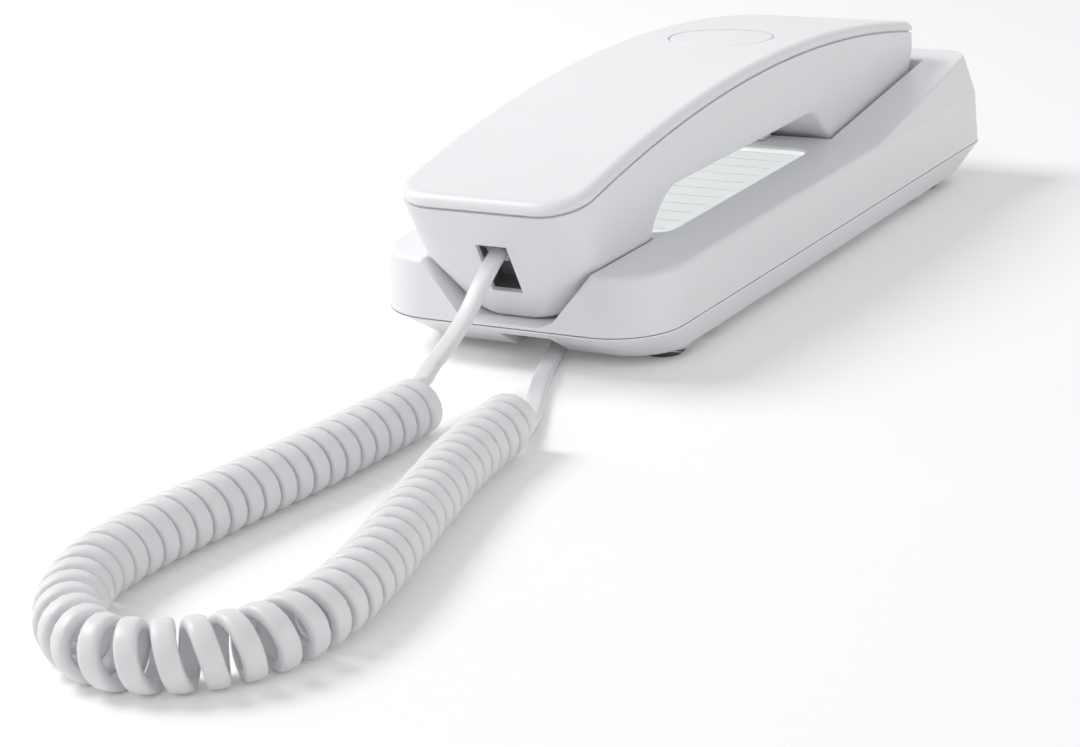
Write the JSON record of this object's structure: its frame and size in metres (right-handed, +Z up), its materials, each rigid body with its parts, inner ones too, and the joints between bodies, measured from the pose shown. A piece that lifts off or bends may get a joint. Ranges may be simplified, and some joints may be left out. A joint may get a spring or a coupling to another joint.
{
  "type": "wall telephone",
  "caption": "Slim corded telephone for desk or wall: bowed handset with a keypad on its inner face, lying on a low base, joined by a curly cord.",
  "frame": {"origin": "on the floor, in the middle of the overall length and width of the phone without its cord", "axes": "+Z up, +Y towards the earpiece end, +X to the right seen from the mouthpiece end"},
  "size_m": [0.0975, 0.4185, 0.0597],
  "materials": {
    "base_plastic": "satin white moulded plastic",
    "handset_plastic": "satin white moulded plastic",
    "inlay_plastic": "satin white moulded plastic",
    "key_plastic": "matt light plastic with plain grey numbers",
    "switch_knob_plastic": "matt grey plastic",
    "switch_plastic": "black moulded switch body",
    "foot_rubber": "dark grey rubber",
    "keypad_rubber": "grey silicone rubber",
    "jack_plastic": "dark grey moulded plastic",
    "screw_steel": "zinc-plated steel",
    "ballast_steel": "plain steel plate",
    "circuit_board": "green glass-fibre board",
    "ringer_brass": "brass sounder plate",
    "capsule_metal": "aluminium can",
    "card_paper": "white paper with faint ruled lines",
    "window_clear": "clear plastic sheet",
    "plug_clear": "clear polycarbonate",
    "cord_vinyl": "white vinyl cord jacket"
  },
  "bodies": {
    "base": {"base_upper_housing": "base_plastic", "base_lower_housing": "base_plastic", "rubber_feet": "foot_rubber", "base_screws": "screw_steel", "base_circuit_board": "circuit_board", "ringer": "ringer_brass", "ballast_weight": "ballast_steel", "base_cord_jack": "jack_plastic", "line_jack": "jack_plastic", "hook_switch_body": "switch_plastic", "wall_tab": "base_plastic", "index_card": "card_paper", "index_window": "window_clear", "curly_cord": "cord_vinyl", "base_lead": "cord_vinyl", "base_plug": "plug_clear"},
    "handset": {"handset_cover": "handset_plastic", "handset_shell": "handset_plastic", "cover_inlay": "inlay_plastic", "receiver_capsule": "capsule_metal", "receiver_gasket": "foot_rubber", "microphone_capsule": "capsule_metal", "microphone_boot": "foot_rubber", "handset_circuit_board": "circuit_board", "keypad_membrane": "keypad_rubber", "handset_jack": "jack_plastic", "handset_screws": "screw_steel", "handset_plug": "plug_clear", "handset_lead": "cord_vinyl"},
    "hook_plunger": {"hook_switch_plunger": "base_plastic"},
    "ringer_knob": {"ringer_switch": "switch_knob_plastic"},
    "key_1_cap": {"key_1": "key_plastic"},
    "key_2_cap": {"key_2": "key_plastic"},
    "key_3_cap": {"key_3": "key_plastic"},
    "key_4_cap": {"key_4": "key_plastic"},
    "key_5_cap": {"key_5": "key_plastic"},
    "key_6_cap": {"key_6": "key_plastic"},
    "key_7_cap": {"key_7": "key_plastic"},
    "key_8_cap": {"key_8": "key_plastic"},
    "key_9_cap": {"key_9": "key_plastic"},
    "key_star_cap": {"key_star": "key_plastic"},
    "key_0_cap": {"key_0": "key_plastic"},
    "key_hash_cap": {"key_hash": "key_plastic"},
    "key_redial_cap": {"key_redial": "key_plastic"},
    "key_flash_cap": {"key_flash": "key_plastic"},
    "key_mute_cap": {"key_mute": "key_plastic"}
  },
  "joints": [
    {"name": "handset_lift", "type": "slide", "parent": "base", "child": "handset", "axis": [0, 0, 1], "range_m": [0, 0.08]},
    {"name": "hook_press", "type": "slide", "parent": "base", "child": "hook_plunger", "axis": [0, 0, 1], "range_m": [0, 0.0035]},
    {"name": "ringer_slide", "type": "slide", "parent": "base", "child": "ringer_knob", "axis": [0, 1, 0], "range_m": [0, 0.005]},
    {"name": "key_1_press", "type": "slide", "parent": "handset", "child": "key_1_cap", "axis": [0, 0, 1], "range_m": [0, 0.0012], "stiffness_N_per_m": 600, "springref_m": -0.0006},
    {"name": "key_2_press", "type": "slide", "parent": "handset", "child": "key_2_cap", "axis": [0, 0, 1], "range_m": [0, 0.0012], "stiffness_N_per_m": 600, "springref_m": -0.0006},
    {"name": "key_3_press", "type": "slide", "parent": "handset", "child": "key_3_cap", "axis": [0, 0, 1], "range_m": [0, 0.0012], "stiffness_N_per_m": 600, "springref_m": -0.0006},
    {"name": "key_4_press", "type": "slide", "parent": "handset", "child": "key_4_cap", "axis": [0, 0, 1], "range_m": [0, 0.0012], "stiffness_N_per_m": 600, "springref_m": -0.0006},
    {"name": "key_5_press", "type": "slide", "parent": "handset", "child": "key_5_cap", "axis": [0, 0, 1], "range_m": [0, 0.0012], "stiffness_N_per_m": 600, "springref_m": -0.0006},
    {"name": "key_6_press", "type": "slide", "parent": "handset", "child": "key_6_cap", "axis": [0, 0, 1], "range_m": [0, 0.0012], "stiffness_N_per_m": 600, "springref_m": -0.0006},
    {"name": "key_7_press", "type": "slide", "parent": "handset", "child": "key_7_cap", "axis": [0, 0, 1], "range_m": [0, 0.0012], "stiffness_N_per_m": 600, "springref_m": -0.0006},
    {"name": "key_8_press", "type": "slide", "parent": "handset", "child": "key_8_cap", "axis": [0, 0, 1], "range_m": [0, 0.0012], "stiffness_N_per_m": 600, "springref_m": -0.0006},
    {"name": "key_9_press", "type": "slide", "parent": "handset", "child": "key_9_cap", "axis": [0, 0, 1], "range_m": [0, 0.0012], "stiffness_N_per_m": 600, "springref_m": -0.0006},
    {"name": "key_star_press", "type": "slide", "parent": "handset", "child": "key_star_cap", "axis": [0, 0, 1], "range_m": [0, 0.0012], "stiffness_N_per_m": 600, "springref_m": -0.0006},
    {"name": "key_0_press", "type": "slide", "parent": "handset", "child": "key_0_cap", "axis": [0, 0, 1], "range_m": [0, 0.0012], "stiffness_N_per_m": 600, "springref_m": -0.0006},
    {"name": "key_hash_press", "type": "slide", "parent": "handset", "child": "key_hash_cap", "axis": [0, 0, 1], "range_m": [0, 0.0012], "stiffness_N_per_m": 600, "springref_m": -0.0006},
    {"name": "key_redial_press", "type": "slide", "parent": "handset", "child": "key_redial_cap", "axis": [0, 0, 1], "range_m": [0, 0.0012], "stiffness_N_per_m": 600, "springref_m": -0.0006},
    {"name": "key_flash_press", "type": "slide", "parent": "handset", "child": "key_flash_cap", "axis": [0, 0, 1], "range_m": [0, 0.0012], "stiffness_N_per_m": 600, "springref_m": -0.0006},
    {"name": "key_mute_press", "type": "slide", "parent": "handset", "child": "key_mute_cap", "axis": [0, 0, 1], "range_m": [0, 0.0012], "stiffness_N_per_m": 600, "springref_m": -0.0006}
  ],
  "couplings": [
    {"joint": "hook_press", "follows": "handset_lift", "ratio": 0.04375}
  ]
}
